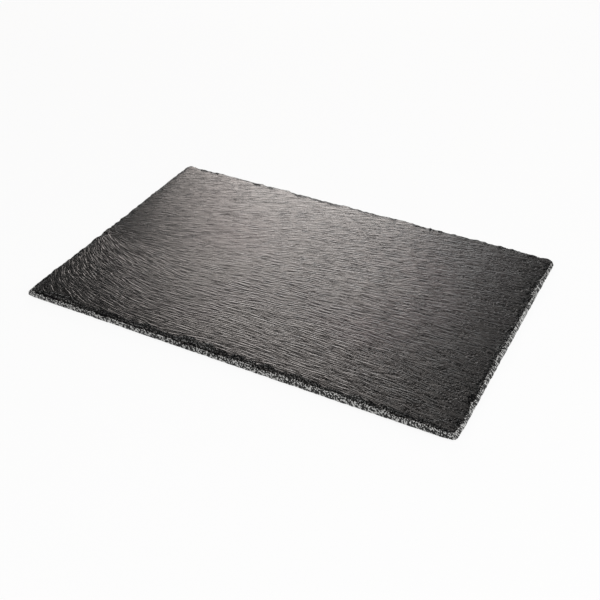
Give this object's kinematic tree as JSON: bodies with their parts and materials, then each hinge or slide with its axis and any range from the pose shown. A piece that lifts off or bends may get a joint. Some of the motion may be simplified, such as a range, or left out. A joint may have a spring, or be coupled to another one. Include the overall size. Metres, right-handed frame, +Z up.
{
  "type": "slate serving board",
  "caption": "Rectangular slate serving board with a riven flat top, a chipped hand-dressed edge, and stick-on rubber feet under its corners.",
  "frame": {"origin": "middle of the board on the table, the plane that the feet stand on", "axes": "+X along the board's length, +Y towards its back, +Z up out of the serving face"},
  "size_m": [0.45, 0.3, 0.0086],
  "materials": {
    "slate": "riven, lightly oiled",
    "foot_rubber": "matte",
    "adhesive": "matte film"
  },
  "bodies": {
    "root": {"slate_slab": "slate", "foot_pad_front_left": "foot_rubber", "foot_pad_front_right": "foot_rubber", "foot_pad_back_right": "foot_rubber", "foot_pad_back_left": "foot_rubber", "adhesive_disc_front_left": "adhesive", "adhesive_disc_front_right": "adhesive", "adhesive_disc_back_right": "adhesive", "adhesive_disc_back_left": "adhesive"}
  },
  "joints": []
}
